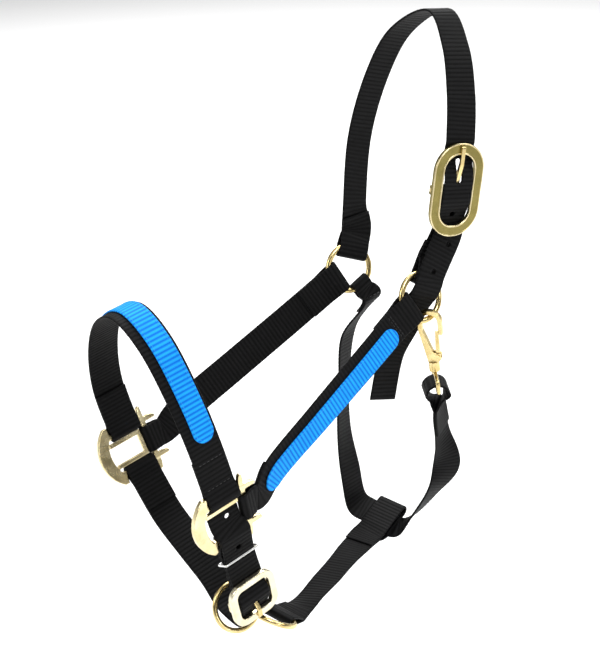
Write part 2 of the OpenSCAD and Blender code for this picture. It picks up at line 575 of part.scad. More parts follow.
// ---- snap ----
// The snap's own frame: z up the shank's line, x across the hook, its mouth at +x
hook_r = 6.4;
hook_wire = 3.5;
hook_t = 4.4;
snap_at = snap_wire - [0, 0, hook_r - ring_wire/2 - 1.3];
snap_yaw = 120;
snap_lean = -4.3;
snap_tilt = 7.5;
base_z = -45;
pin_z = -31;
eye_turn = -68;                        // the eye's wide direction, from the hook's
eye_wire = 3.2;
eye_in = 8;
eye_top = base_z - 1.2 - eye_wire/2;
eye_low = eye_top - eye_in - eye_wire;
eye_half = webbing_w/2 + 0.6 + eye_wire/2;
eye_loop = 5;
function snap_turn(p) = turn_z(turn_y(turn_x(p, snap_tilt), snap_lean), snap_yaw);
function from_snap(p) = snap_at + snap_turn(p);
module snap_place() translate(snap_at) rotate([snap_tilt, snap_lean, snap_yaw]) children();
throat_eye = from_snap([0, 0, eye_low]);
eye_dir = -snap_turn(turn_z([1, 0, 0], eye_turn));
throat_route = [
  concat(far_ring_at, throat_part*far_down_side),
  concat(far_ring_at + 11*far_down, throat_part*far_down_side),
  concat(far_ring_at + 22*far_down, throat_part*far_down_side),
  concat(far_ring_at + 33*far_down, (throat_part + 0.1)*far_down_side),
  concat([ring_forward - 4, -ring_span*0.57, -ring_drop - 60], [-0.92, -0.3, 0.1]),
  concat([ring_forward + 3, -ring_span*0.56, -ring_drop - 100], [-0.88, -0.47, 0]),
  concat([ring_forward + 10, -ring_span*0.48, -ring_drop - 145], [-0.9, -0.42, 0]),
  concat([ring_forward + 14, -ring_span*0.33, -ring_drop - 182], [-0.95, -0.25, 0.2]),
  concat(throat_low - 26*throat_dir + [2, 0, 6], throat_side),
  concat(throat_low - 15*throat_dir, throat_side),
  concat(throat_low, throat_side),
  concat(throat_low + 18*throat_dir, throat_side),
  concat([ring_forward - 25, ring_span*0.4, -ring_drop - 192], [-0.8, -0.3, -0.5]),
  concat([ring_forward - 34, ring_span*0.49, -ring_drop - 165], [-0.75, 0.3, -0.5]),
  concat([ring_forward - 24, ring_span*0.54, -ring_drop - 130], [-0.78, -0.2, -0.3]),
  concat(throat_eye - [1, -1, 20], unit([-0.85, -0.45, -0.1])),
  concat(throat_eye - [0, 0, 9], 0.86*eye_dir),
  concat(throat_eye, 0.84*eye_dir)
];
throat_spine = spine(throat_route);
module snap_hook() {
  color(brass) snap_place() difference() {
    union() {
      rotate([90, 0, 0]) linear_extrude(hook_t, center = true) {
        difference() {
          circle(r = hook_r + hook_wire, $fn = 96);
          circle(r = hook_r, $fn = 96);
          translate([-20, -20]) square([40, 20]);
        }
        translate([hook_r, -11]) square([hook_wire - 0.3, 11.1]);
        polygon([[-hook_r - hook_wire, 0.1], [-hook_r, 0.1], [-hook_r + 0.3, -8], [0.4, -27], [2, -28.4],
          [6.6, -28.4], [6.8, -33.6], [4, base_z + 8], [-4, base_z + 8], [-hook_r - hook_wire + 0.3, -8]]);
      }
      translate([0, 0, base_z]) cylinder(r = 4.4, h = 8.6, $fn = 64);
    }
    translate([0.6, -1.3, -33.6]) cube([13, 2.6, 10]);
    translate([4.2, 0, pin_z]) rotate([90, 0, 0]) cylinder(r = 1, h = 20, center = true, $fn = 32);
    translate([0, 0, base_z - 1]) cylinder(r = eye_wire/2 + 0.05, h = 4.6, $fn = 48);
    translate([0, 0, base_z + 3.5]) cylinder(r = 2.7, h = 3.1, $fn = 48);
  }
}
module snap_gate() {
  color(brass) snap_place() difference() {
    union() {
      rotate([90, 0, 0]) linear_extrude(2.3, center = true)
        polygon([[2.6, pin_z], [2.4, pin_z + 4], [3.6, -8.5], [5.9, -8.2], [5.9, pin_z + 3], [5.9, pin_z]]);
      translate([4.2, 0, pin_z]) rotate([90, 0, 0]) cylinder(r = 2, h = 2.3, center = true, $fn = 48);
    }
    translate([4.2, 0, pin_z]) rotate([90, 0, 0]) cylinder(r = 1.05, h = 10, center = true, $fn = 48);
  }
}
module snap_gate_rivet() {
  color(brass) snap_place() translate([4.2, 0, pin_z]) rotate([90, 0, 0]) {
    cylinder(r = 1, h = hook_t, center = true, $fn = 48);
    for (z = [-1, 1]) translate([0, 0, z*(hook_t/2 + 0.4)]) cylinder(r = 1.7, h = 0.8, center = true, $fn = 48);
  }
}
module snap_gate_spring() {
  color(nickel) snap_place() translate([0, 0.4, 0]) rotate([90, 0, 0]) linear_extrude(0.8)
    polygon([[0.65, -33.5], [1, -33.5], [1.2, pin_z], [1.4, pin_z + 1.4], [1.1, pin_z + 1.4], [0.75, pin_z]]);
}
module snap_eye() {
  color(brass) snap_place() rotate([0, 0, eye_turn]) {
    for (z = [eye_top, eye_low]) translate([0, 0, z]) rotate([0, 90, 0])
      cylinder(d = eye_wire, h = 2*eye_half - 6, center = true, $fn = 48);
    for (x = [-1, 1]) translate([x*eye_half, 0, (eye_top + eye_low)/2])
      cylinder(d = eye_wire, h = eye_top - eye_low - 6, center = true, $fn = 48);
    for (x = [-1, 1], z = [-1, 1])
      translate([x*(eye_half - 3), 0, (eye_top + eye_low)/2 + z*((eye_top - eye_low)/2 - 3)]) rotate([90, 0, 0])
        rotate([0, 0, x > 0 ? (z > 0 ? 0 : 270) : (z > 0 ? 90 : 180)])
          rotate_extrude(angle = 90, $fn = 48) translate([3, 0]) circle(d = eye_wire, $fn = 48);
    translate([0, 0, eye_top]) cylinder(d = eye_wire, h = base_z + 4 - eye_top, $fn = 48);
    translate([0, 0, base_z + 3.6]) cylinder(r = 2.6, h = 2.8, $fn = 48);
  }
}

crown_strap();
crown_billet();
noseband();
noseband_overlay();
near_cheek_strap();
near_cheek_overlay();
far_cheek_strap();
far_cheek_overlay();
chin_strap();
chin_billet();
throat_strap();
throat_connector();
near_square();
far_square();
near_cheek_ring();
far_cheek_ring();
lead_ring();
link_ring();
crown_buckle();
crown_buckle_bar();
crown_buckle_tongue();
chin_buckle();
chin_buckle_bar();
chin_buckle_tongue();
chin_keeper();
snap_hook();
snap_gate();
snap_gate_rivet();
snap_gate_spring();
snap_eye();
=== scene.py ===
"""A horse's head halter: sewn nylon webbing, cast brass squares, rings, two tongue buckles and a snap.

Every strap is a ribbed ribbon laid along the same route as its CAD node, and every metal piece is
the CAD node's own shape, made again with soft cast edges. Lengths in the routes are millimetres.
"""

import math

import bpy
import numpy as np
from mathutils import Matrix, Vector


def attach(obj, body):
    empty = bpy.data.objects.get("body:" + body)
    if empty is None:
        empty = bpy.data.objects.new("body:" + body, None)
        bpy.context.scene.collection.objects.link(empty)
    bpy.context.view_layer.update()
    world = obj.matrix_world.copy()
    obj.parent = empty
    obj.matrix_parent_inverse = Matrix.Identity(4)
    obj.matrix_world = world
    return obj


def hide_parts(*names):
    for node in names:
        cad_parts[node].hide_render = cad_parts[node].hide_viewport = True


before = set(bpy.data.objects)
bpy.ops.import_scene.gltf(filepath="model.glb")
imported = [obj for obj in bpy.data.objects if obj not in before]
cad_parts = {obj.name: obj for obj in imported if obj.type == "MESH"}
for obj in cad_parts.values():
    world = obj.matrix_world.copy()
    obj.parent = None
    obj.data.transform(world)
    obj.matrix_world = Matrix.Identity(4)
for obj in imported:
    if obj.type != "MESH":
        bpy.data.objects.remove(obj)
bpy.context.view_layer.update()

# ---- Crown strap ----
# One-ply black nylon webbing from the far ring over the poll to a free tail below the near ring.
# Woven in cross ribs; the ring end is folded round the ring and sewn; holes are punched hot.

# The webbing's width, thickness and rib pitch. A seam's rows lie a little over half a thickness from
# the middle line, and a folded end's lap lies one ply and a rib away from the body. A hole's cutter
# reaches as far to each side of the strap. All are millimetres, and the meshes are in metres.
web_wide = 25.4
web_thick = 1.7
rib_pitch = 3.2
seam_height = 0.92
lap_drop = 1.9
lap_clear = 11
hole_radius = 2.1
cut_reach = 8
mm_per_m = 1000


def new_material(name):
    """A node material with its principled shader, and short ways to add and link nodes."""
    mat = bpy.data.materials.new(name)
    mat.use_nodes = True
    tree = mat.node_tree
    shader = tree.nodes["Principled BSDF"]

    def add(kind, **values):
        node = tree.nodes.new(kind)
        for key, value in values.items():
            setattr(node, key, value)
        return node

    def math_node(operation, a, b=0.0):
        node = add("ShaderNodeMath", operation=operation)
        for socket, value in zip(node.inputs, (a, b)):
            if isinstance(value, (int, float)):
                socket.default_value = value
            else:
                tree.links.new(value, socket)
        return node.outputs[0]

    return mat, tree, shader, add, math_node


def woven(name, deep, top, pitch, rough, sheen, yarn=0.8):
    """Ribbed cloth. The length along the strap sets a painted highlight on each rib's top and painted shade
    in its valley, over ribs the mesh already has: deep holds the painted shade and top the painted
    highlight. The distance across it sets the fine yarns, which also raise the surface a little."""
    mat, tree, shader, add, mth = new_material(name)
    uv = add("ShaderNodeUVMap", uv_map="lay")
    split = add("ShaderNodeSeparateXYZ")
    tree.links.new(uv.outputs[0], split.inputs[0])
    turn = mth("MULTIPLY", split.outputs[0], 2 * mm_per_m * math.pi / pitch)
    rib = mth("MULTIPLY_ADD", mth("COSINE", turn), -0.5)
    rib.node.inputs[2].default_value = 0.5
    cross = mth("MULTIPLY", split.outputs[1], 2 * mm_per_m * math.pi / yarn)
    wave = mth("SINE", mth("ADD", cross, mth("MULTIPLY", turn, 0.5)))
    place = add("ShaderNodeTexCoord")
    spread = add("ShaderNodeTexNoise")
    spread.inputs["Scale"].default_value = 60
    spread.inputs["Detail"].default_value = 4
    tree.links.new(place.outputs["Object"], spread.inputs["Vector"])
    fuzz = add("ShaderNodeTexNoise")
    fuzz.inputs["Scale"].default_value = 2600
    tree.links.new(place.outputs["Object"], fuzz.inputs["Vector"])
    # Painted highlight on the rib tops and painted shade in the valleys, varied by the yarns and random tone.
    light = mth("MULTIPLY", rib, mth("ADD", mth("MULTIPLY", wave, 0.16), 0.84))
    light = mth("MULTIPLY", light, mth("ADD", mth("MULTIPLY", spread.outputs[0], 0.7), 0.62))
    mix = add("ShaderNodeMix", data_type="RGBA")
    mix.inputs[6].default_value = (*deep, 1)
    mix.inputs[7].default_value = (*top, 1)
    tree.links.new(light, mix.inputs[0])
    tree.links.new(mix.outputs[2], shader.inputs["Base Color"])
    height = mth("ADD", mth("MULTIPLY", wave, 0.5), mth("MULTIPLY", fuzz.outputs[0], 0.6))
    bump = add("ShaderNodeBump")
    bump.inputs["Strength"].default_value = 0.45
    bump.inputs["Distance"].default_value = 0.00012
    tree.links.new(height, bump.inputs["Height"])
    tree.links.new(bump.outputs[0], shader.inputs["Normal"])
    shader.inputs["Roughness"].default_value = rough
    shader.inputs["Sheen Weight"].default_value = sheen
    shader.inputs["Sheen Roughness"].default_value = 0.4
    shader.inputs["Specular IOR Level"].default_value = 0.1
    return mat


def thread_material(name, colour):
    """Waxed thread: one colour with a fine twist from noise."""
    mat, tree, shader, add, mth = new_material(name)
    place = add("ShaderNodeTexCoord")
    noise = add("ShaderNodeTexNoise")
    noise.inputs["Scale"].default_value = 1800
    tree.links.new(place.outputs["Object"], noise.inputs["Vector"])
    mix = add("ShaderNodeMix", data_type="RGBA")
    mix.inputs[6].default_value = (*[c * 0.6 for c in colour], 1)
    mix.inputs[7].default_value = (*[min(1, c * 1.5) for c in colour], 1)
    tree.links.new(noise.outputs[0], mix.inputs[0])
    tree.links.new(mix.outputs[2], shader.inputs["Base Color"])
    shader.inputs["Roughness"].default_value = 0.45
    return mat


def skin(name, rings, material, uv=None, closed=False):
    """A mesh from tubes: rings[s, n, m] is point m of ring n of tube s. Rings are joined in turn, and
    each open tube ends in a fan of triangles. Faces are turned outward by the sign of the volume."""
    tubes, count, around, _ = rings.shape
    index = np.arange(tubes * count * around).reshape(tubes, count, around)
    ahead = np.roll(index, -1, axis=1) if closed else index[:, 1:]
    here = index if closed else index[:, :-1]
    quads = np.stack([here, np.roll(here, -1, 2), np.roll(ahead, -1, 2), ahead], -1).reshape(-1, 4)
    points = rings.reshape(-1, 3)
    tris = np.zeros((0, 3), int)
    if not closed:
        ends = np.concatenate([rings[:, 0].mean(1), rings[:, -1].mean(1)])
        middle = len(points) + np.arange(2 * tubes)[:, None] * np.ones(around, int)
        rim = np.concatenate([index[:, 0], index[:, -1]])
        fan = np.stack([middle, np.roll(rim, -1, 1), rim], -1)
        fan[tubes:] = fan[tubes:, :, ::-1]
        tris = fan.reshape(-1, 3)
        points = np.concatenate([points, ends])
        if uv is not None:
            uv = np.concatenate([uv.reshape(-1, 2), uv[:, 0].mean(1), uv[:, -1].mean(1)])
    p = points[quads[: count * around]]
    volume = np.einsum("ij,ij->i", p[:, 0], np.cross(p[:, 1], p[:, 2]) + np.cross(p[:, 2], p[:, 3])).sum()
    if volume < 0:
        quads, tris = quads[:, ::-1], tris[:, ::-1]
    corners = np.concatenate([quads.ravel(), tris.ravel()]).astype(np.int32)
    starts = np.concatenate([np.arange(len(quads)) * 4, len(quads) * 4 + np.arange(len(tris)) * 3])
    mesh = bpy.data.meshes.new(name)
    mesh.vertices.add(len(points))
    mesh.vertices.foreach_set("co", (points / mm_per_m).astype(np.float32).ravel())
    mesh.loops.add(len(corners))
    mesh.loops.foreach_set("vertex_index", corners)
    mesh.polygons.add(len(starts))
    mesh.polygons.foreach_set("loop_start", starts.astype(np.int32))
    mesh.update(calc_edges=True)
    if uv is not None:
        layer = mesh.uv_layers.new(name="lay")
        layer.data.foreach_set("uv", (uv.reshape(-1, 2)[corners] / mm_per_m).astype(np.float32).ravel())
    mesh.shade_smooth()
    mesh.materials.append(material)
    obj = bpy.data.objects.new(name, mesh)
    bpy.context.scene.collection.objects.link(obj)
    return obj


def smooth_route(route, steps=16):
    """Catmull-Rom curve through stations of a point and an across direction: [running length, rows]."""
    p = np.array(route, float)
    k = np.repeat(np.arange(len(p) - 1), steps)
    u = np.tile(np.arange(steps) / steps, len(p) - 1)[:, None]
    a, b, c, d = p[np.maximum(k - 1, 0)], p[k], p[k + 1], p[np.minimum(k + 2, len(p) - 1)]
    slope, bend, twist = c - a, 2 * a - 5 * b + 4 * c - d, 3 * b - a - 3 * c + d
    q = 0.5 * (2 * b + slope * u + bend * u**2 + twist * u**3)
    q = np.vstack([q, p[-1]])
    s = np.concatenate([[0], np.cumsum(np.linalg.norm(np.diff(q[:, :3], axis=0), axis=1))])
    return s, q


def stations(curve, x):
    """The curve's rows at lengths x: each is its two nearest rows mixed by the length between them.
    Lengths past either end carry on in a straight line."""
    s, q = curve
    k = np.clip(np.searchsorted(s, x, side="right") - 1, 0, len(s) - 2)
    return q[k] + (q[k + 1] - q[k]) * ((x - s[k]) / (s[k + 1] - s[k]))[:, None]


def unit(v):
    """Each vector divided by its own length."""
    return v / np.linalg.norm(v, axis=-1, keepdims=True)


def lie(curve, x, h):
    """Points on the strap's middle line at lengths x and heights h, with the across and outward
    directions there and the share of the full width."""
    t = unit(stations(curve, x + 1.5)[:, :3] - stations(curve, x - 1.5)[:, :3])
    row = stations(curve, x)
    a = row[:, 3:]
    share = np.minimum(1, np.linalg.norm(a, axis=1))
    a = unit(a - (a * t).sum(1, keepdims=True) * t)
    n = np.cross(t, a)
    return row[:, :3] + h[:, None] * n, a, n, share


def fold(r, near, far, lap_end, up):
    """Side view of a sewn end: the lap from lap_end back to the metal, half a turn of radius r round
    it, and the body from a clear length past far on. up is the body's side."""
    q = np.radians(np.arange(0, 181, 10))
    turn = np.stack([near - r * np.sin(q), -up * r * np.cos(q)], 1).tolist()
    room = far > near
    lap = [[lap_end, -up * lap_drop], [far + lap_clear, -up * lap_drop]]
    return (lap + ([[far, -up * r]] if room else []) + turn
            + ([[far, up * r]] if room else []) + [[far + lap_clear, 0]])


def even(path, step, ease):
    """The same path in even steps, with its corners eased over a length."""
    path = np.array(path, float)
    run = np.concatenate([[0], np.cumsum(np.linalg.norm(np.diff(path, axis=0), axis=1))])
    at = np.linspace(0, run[-1], int(run[-1] / step) + 1)
    out = np.stack([np.interp(at, run, path[:, i]) for i in range(path.shape[1])], 1)
    k = 2 * max(1, round(ease / step / 2)) + 1
    before = out[:1] + (out[:1] - out[k // 2:0:-1])
    after = out[-1:] + (out[-1:] - out[-2:-2 - k // 2:-1])
    padded = np.concatenate([before, out, after])
    window = np.ones(k) / k
    eased = [np.convolve(padded[:, i], window, "valid") for i in range(out.shape[1])]
    return np.stack(eased, 1), at


def ribbon(name, curve, path, width, thick, material, rib=0.28, step=0.36, shift=0, rounded=0):
    """A ribbon along a side-view path. Its section is a thin rectangle with round edges; the faces
    rise in cross ribs by the absolute sine of the length over the pitch, and the edges swell between
    ribs. rounded is the radius of its two ends, seen from above."""
    side, run = even(path, step, 1.4)
    c, a, n, share = lie(curve, side[:, 0], side[:, 1])
    c = c + shift * a
    along = unit(np.gradient(c, axis=0))
    up = unit(np.cross(a, along))
    edge = 1 - np.array([0, 0.006, 0.02, 0.045, 0.08, 0.2, 0.45, 0.72])
    v = np.concatenate([edge, [0], -edge[::-1]])
    fat = np.sqrt(1 - np.clip((np.abs(v) - 0.92) / 0.08, 0, 1) ** 2)
    v = np.concatenate([v, v[-2:0:-1]])
    fat = np.concatenate([fat, -fat[-2:0:-1]])
    wave = np.abs(np.sin(math.pi * run / rib_pitch)) ** 0.75
    end = np.minimum(run, run[-1] - run)
    if rounded:
        share = share * np.sqrt(np.clip(1 - (1 - np.clip(end / rounded, 0, 1)) ** 2, 0.004, 1))
    thin = np.clip(end / 0.7, 0.35, 1) ** 0.5
    half = width / 2 * share + 0.13 * (1 - wave)
    lift = (thick / 2 + rib * (wave - 0.6)) * thin
    rings = (c[:, None] + a[:, None] * (half[:, None] * v)[..., None]
             + up[:, None] * (lift[:, None] * fat)[..., None])
    uv = np.stack(np.broadcast_arrays(run[:, None], v[None] * half[:, None]), -1)
    return skin(name, rings[None], material, uv[None])


def punch(obj, holes):
    """Cuts round holes through a strap: each is a centre, a direction, a radius and a slot length."""
    for centre, axis, along, radius, slot in holes:
        q = np.linspace(0, 2 * math.pi, 40, endpoint=False)
        axis, along = unit(np.array(axis, float)), unit(np.array(along, float))
        other = np.cross(axis, along)
        longways = (np.cos(q) * radius + np.sign(np.cos(q)) * slot / 2)[:, None] * along
        flat = longways + (np.sin(q) * radius)[:, None] * other
        rings = np.array(centre) + flat[None] + np.array([-cut_reach, cut_reach])[:, None, None] * axis
        cutter = skin("cutter", rings[None], obj.data.materials[0])
        tool = obj.modifiers.new("hole", "BOOLEAN")
        tool.operation, tool.solver, tool.object = "DIFFERENCE", "EXACT", cutter
        obj.data = baked(obj)
        bpy.data.objects.remove(cutter)


def baked(obj):
    """The object's mesh with its modifiers applied; the modifiers are then removed."""
    bpy.context.view_layer.update()
    mesh = bpy.data.meshes.new_from_object(obj.evaluated_get(bpy.context.evaluated_depsgraph_get()))
    obj.modifiers.clear()
    return mesh


def stitches(name, curve, rows, material, stitch=2.3, gap=0.9, radius=0.24):
    """Rows of thread on a strap. A row runs from (length, across) to (length, across) at a height.
    Each stitch is a thin tube that rises from the cloth and dives back by half a sine."""
    x, a, h, dx, da = [], [], [], [], []
    for x0, a0, x1, a1, height in rows:
        far = math.hypot(x1 - x0, a1 - a0)
        count = max(1, int((far + gap) / (stitch + gap)))
        at = (np.arange(count) + 0.5) / count
        x.append(x0 + (x1 - x0) * at)
        a.append(a0 + (a1 - a0) * at)
        h.append(np.full(count, float(height)))
        dx.append(np.full(count, (x1 - x0) / far))
        da.append(np.full(count, (a1 - a0) / far))
    x, a, h, dx, da = (np.concatenate(k)[:, None, None] for k in (x, a, h, dx, da))
    t = np.linspace(-1, 1, 9)[None, :, None]
    q = np.linspace(0, 2 * math.pi, 8, endpoint=False)[None, None]
    fat = radius * np.sqrt(np.clip(1 - t**8, 0.01, 1))
    s = t * stitch / 2
    side, rise = fat * np.cos(q), fat * np.sin(q) + np.sign(h) * 0.16 * (np.cos(t * math.pi / 2) - 0.5)
    px, pa, ph = np.broadcast_arrays(x + dx * s - da * side, a + da * s + dx * side, h + rise)
    c, across, _, _ = lie(curve, px.ravel(), ph.ravel())
    return skin(name, (c + pa.ravel()[:, None] * across).reshape(*px.shape, 3), material)


def belongs(obj, slot, *nodes, body="halter"):
    """The piece rides on its body and hides the CAD nodes it stands for; slot is not used."""
    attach(obj, body)
    if nodes:
        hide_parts(*nodes)
    return obj


def cross_rows(start, stop, half, height):
    """Two rows sewn across a lap, one near the metal and one near its cut end."""
    return [(start, -half, start, half, height), (stop, -half, stop, half, height)]


def strap(name, route, head, tail):
    """A strap between two sewn ends; tail None leaves a cut end."""
    curve = smooth_route(route)
    length = curve[0][-1]
    last = [[length, 0]] if tail is None else [[length - x, h] for x, h in tail[::-1]]
    return ribbon(name, curve, head + last, web_wide, web_thick, black_web), curve, length


# Black cloth: its first colour is painted shade for the rib valleys, its second a painted highlight for the
# rib tops.
black_web = woven("black_webbing", (0.0002, 0.0002, 0.0002), (0.0065, 0.0065, 0.007), rib_pitch, 0.6, 0.0)
black_thread = thread_material("black_thread", (0.008, 0.008, 0.0085))
crown_route = [
    [56.0, -41.5, -203.0, 0.882, -0.329, 0.338], [51.5, -43.5, -193.2, 0.882, -0.329, 0.338],
    [47.0, -45.5, -183.3, 0.882, -0.329, 0.338], [42.5, -47.5, -173.5, 0.882, -0.329, 0.338],
    [43.7, -47.3, -150.2, 0.970, 0.000, 0.200], [28.0, -58.1, -101.5, 0.970, 0.000, 0.250],
    [15.1, -52.3, -54.8, 0.970, 0.000, 0.250], [5.6, -34.9, -18.3, 0.970, 0.000, 0.200],
    [0.0, 0.0, 0.8, 0.970, -0.020, 0.100], [5.0, 23.2, -22.3, 0.960, -0.160, 0.160],
    [11.8, 36.5, -54.8, 0.960, -0.220, 0.130], [19.2, 44.3, -83.1, 0.967, -0.223, 0.122],
    [20.2, 44.0, -91.9, 0.967, -0.223, 0.122], [21.0, 43.4, -99.6, 0.967, -0.223, 0.122],
    [23.7, 48.0, -112.5, 0.967, -0.223, 0.122], [25.0, 47.7, -123.4, 0.967, -0.223, 0.122],
    [26.1, 47.4, -132.4, 0.967, -0.223, 0.122], [26.7, 42.1, -147.2, 0.967, -0.223, 0.122],
    [28.2, 42.2, -158.8, 0.967, -0.223, 0.122], [46.0, 44.3, -184.1, 0.891, -0.184, 0.416],
    [50.3, 44.6, -193.4, 0.891, -0.184, 0.416], [53.3, 43.1, -200.4, 0.891, -0.184, 0.416],
    [55.7, 39.1, -207.3, 0.891, -0.184, 0.416], [57.8, 36.6, -212.9, 0.891, -0.184, 0.416],
    [62.9, 34.5, -224.8, 0.891, -0.184, 0.416], [78.0, 32.5, -248.0, 0.900, -0.100, 0.450],
    [89.0, 34.0, -283.0, 0.970, -0.100, 0.300],
]
crown, crown_curve, _ = strap(
    "crown_webbing", crown_route, fold(3.50, 12.03, 18.30, 46, -1), None)
buckle_at = np.array([24.64, 46.00, -123.42])
buckle_x, buckle_y, buckle_z = np.array(
    [[0.9671, -0.2233, 0.1219], [0.2250, 0.9744, 0.0000], [-0.1187, 0.0274, 0.9925]])
# The tongue's slot is above the bar. Two holes follow below it in a straight line, and the third
# lies one more space along the tail's own curve.
first_hole, hole_space = 19, 24
second_at = buckle_at - buckle_z * (first_hole + hole_space)
second_length = crown_curve[0][np.linalg.norm(crown_curve[1][:, :3] - second_at, axis=1).argmin()]
third_at, _, third_out, _ = lie(crown_curve, np.array([second_length + hole_space]), np.zeros(1))
punch(crown, [(buckle_at + buckle_z * 14.5, buckle_y, buckle_z, 2.5, 13.4),
              (buckle_at - buckle_z * first_hole, buckle_y, buckle_z, hole_radius, 0),
              (second_at, buckle_y, buckle_z, hole_radius, 0),
              (third_at[0], third_out[0], buckle_z, hole_radius, 0)])
belongs(crown, "webbing", "crown_strap")
belongs(stitches("crown_stitching", crown_curve,
                 cross_rows(31, 43, 9.5, -seam_height), black_thread), "webbing")

# ---- Crown billet ----
# Short two-ply piece from the near ring to the crown buckle's centre bar, folded round both.
# Its laps are sewn down with rows along its length.
billet_route = [
    [56.0, 41.5, -203.0, 0.798, -0.225, 0.559], [49.4, 39.1, -194.5, 0.798, -0.225, 0.559],
    [42.8, 36.7, -186.1, 0.798, -0.225, 0.559], [36.8, 34.5, -178.4, 0.798, -0.225, 0.559],
    [25.6, 38.4, -153.3, 0.967, -0.223, 0.122], [24.8, 41.9, -132.4, 0.967, -0.223, 0.122],
    [23.9, 42.7, -123.4, 0.967, -0.223, 0.122],
]
billet, billet_curve, billet_length = strap(
    "crown_billet_webbing", billet_route, fold(3.50, 12.03, 18.30, 44, 1), fold(3.20, 0, 0, 26, 1))
punch(billet, [(buckle_at - buckle_y * 3.4 + buckle_z * 1.5, buckle_y, buckle_z, 3, 10)])
belongs(billet, "webbing", "crown_billet")
belongs(stitches("billet_stitching", billet_curve,
                 [(33, a, billet_length - 14, a, seam_height) for a in (-9, -7.2, 7.2, 9)],
                 black_thread), "webbing")

# ---- Noseband and its overlay ----
# Black webbing over the nose, folded round both squares' top bars; a narrower bright blue webbing
# with round ends is sewn along its outer face.
nose_route = [
    [263.0, 62.0, -284.8, 0.987, 0.000, -0.162], [268.4, 55.8, -251.6, 0.987, 0.000, -0.162],
    [274.8, 43.4, -213.0, 0.987, 0.000, -0.162], [280.6, 22.3, -177.0, 0.987, 0.000, -0.162],
    [283.1, -6.2, -161.8, 0.987, 0.000, -0.162], [280.9, -37.2, -175.7, 0.987, 0.000, -0.162],
    [275.2, -62.6, -210.2, 0.987, 0.000, -0.162], [268.9, -73.8, -248.9, 0.987, 0.000, -0.162],
    [262.9, -67.0, -285.6, 0.987, 0.000, -0.162],
]
nose, nose_curve, nose_length = strap(
    "noseband_webbing", nose_route, fold(3.80, 0, 0, 34, 1), fold(3.80, 0, 0, 34, 1))
belongs(nose, "webbing", "noseband")
belongs(stitches("noseband_stitching", nose_curve,
                 cross_rows(11.5, 31, 10, seam_height)
                 + cross_rows(nose_length - 31, nose_length - 11.5, 10, seam_height),
                 black_thread), "webbing")
# Blue cloth: its first colour is darkened into painted shade for the rib valleys, its second lightened into a
# painted highlight for the rib tops.
blue_web = woven("blue_overlay_webbing", (0.0, 0.14, 0.62), (0.014, 0.42, 1.0), rib_pitch, 0.6, 0.02, 0.7)
blue_thread = thread_material("blue_thread", (0.006, 0.26, 0.8))


strip_wide = 16
strip_thick = 1.2
strip_lift = 1.6
strip_seam_lift = 2.22
strip_seam_in = 6.3


def overlay(name, curve, start, stop, shift, face, node):
    """The coloured strip on a strap's outer face, and its edge stitching, which follows the round
    ends as half circles about the same centres as the strip's own."""
    h = face * strip_lift
    bend = strip_wide // 2
    strip = ribbon(name, curve, [[start, h], [stop, h]], strip_wide, strip_thick, blue_web,
                   0.2, 0.33, shift, bend)
    belongs(strip, "overlay", node)
    q = np.linspace(-math.pi / 2, math.pi / 2, 7)
    left = [(start + bend - strip_seam_in * math.cos(k), shift + strip_seam_in * math.sin(k)) for k in q]
    right = [(stop - bend + strip_seam_in * math.cos(k), shift + strip_seam_in * math.sin(k)) for k in q]
    loop = left + right[::-1] + left[:1]
    rows = [(*loop[k], *loop[k + 1], face * strip_seam_lift) for k in range(len(loop) - 1)]
    belongs(stitches(name + "_stitching", curve, rows, blue_thread, 2.0, 0.8, 0.2), "overlay")


overlay("noseband_strip", nose_curve, 44, nose_length - 44, -2.5, 1, "noseband_overlay")

# ---- Cheek straps and their overlays ----
# Webbing from each square's rear bar to its cheek ring, folded and box-sewn at both ends, with the
# same blue webbing sewn along the outer face.
near_cheek_route = [
    [245.3, 62.0, -297.5, 0.134, 0.000, 0.819], [237.4, 62.0, -296.2, 0.134, 0.000, 0.819],
    [229.5, 62.0, -294.9, 0.134, 0.000, 0.819], [213.1, 58.5, -281.4, 0.428, 0.008, 0.904],
    [169.6, 53.8, -259.7, 0.434, -0.096, 0.896], [112.8, 47.6, -231.4, 0.436, -0.233, 0.869],
    [75.8, 43.5, -212.4, 0.433, -0.300, 0.850], [65.9, 42.5, -207.7, 0.433, -0.300, 0.850],
    [56.0, 41.5, -203.0, 0.433, -0.300, 0.850],
]
far_cheek_route = [
    [245.3, -62.0, -297.5, 0.127, -0.270, 0.774], [237.4, -62.0, -296.2, 0.127, -0.270, 0.774],
    [229.5, -62.0, -294.9, 0.127, -0.270, 0.774], [213.1, -58.5, -281.4, 0.369, -0.364, 0.855],
    [169.6, -53.8, -259.7, 0.369, -0.364, 0.855], [112.8, -47.6, -231.4, 0.369, -0.364, 0.855],
    [75.8, -43.5, -212.4, 0.369, -0.364, 0.855], [65.9, -42.5, -207.7, 0.369, -0.364, 0.855],
    [56.0, -41.5, -203.0, 0.369, -0.364, 0.855],
]
for side, route, up in (("near", near_cheek_route, 1), ("far", far_cheek_route, -1)):
    cheek, curve, length = strap(side + "_cheek_webbing", route, fold(3.80, 0, 0, 34, up),
                                 fold(3.50, 12.03, 18.30, 48, up))
    belongs(cheek, "webbing", side + "_cheek_strap")
    inner, outer = -seam_height * up, seam_height * up
    rows = cross_rows(11.5, 31, 9, inner) + cross_rows(length - 45, length - 31, 10, inner)
    rows += cross_rows(length - 32, length - 34, 10, outer)
    belongs(stitches(side + "_cheek_stitching", curve, rows, black_thread), "webbing")
    overlay(side + "_cheek_strip", curve, 20, length - 36, -3.2, up, side + "_cheek_overlay")

